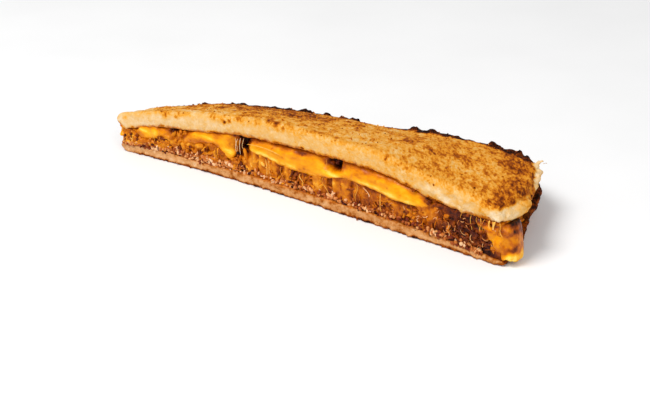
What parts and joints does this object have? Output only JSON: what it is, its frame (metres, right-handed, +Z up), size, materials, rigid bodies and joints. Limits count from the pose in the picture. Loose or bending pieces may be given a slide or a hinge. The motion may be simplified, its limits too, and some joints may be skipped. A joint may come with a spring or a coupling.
{
  "type": "grilled cheese sandwich",
  "caption": "Half of a grilled cheese sandwich, cut side showing melted cheese and browned filling between toasted slices.",
  "frame": {"origin": "middle of the bounding box, on the level that the bottom slice rests on", "axes": "+Z up, +X along the cut from the domed end to the square end, -Y out of the cut face"},
  "size_m": [0.1498, 0.048, 0.0219],
  "materials": {
    "bread_top": "toasted golden bread, pale crumb at the cut, browned and charred crust",
    "cheese": "glossy melted orange-yellow cheese",
    "filling": "moist browned shredded filling, amber to dark brown",
    "bread_bottom": "toasted bread with a ragged dark underside"
  },
  "bodies": {
    "root": {"bread_top": "bread_top", "cheese": "cheese", "filling": "filling", "bread_bottom": "bread_bottom"}
  },
  "joints": []
}
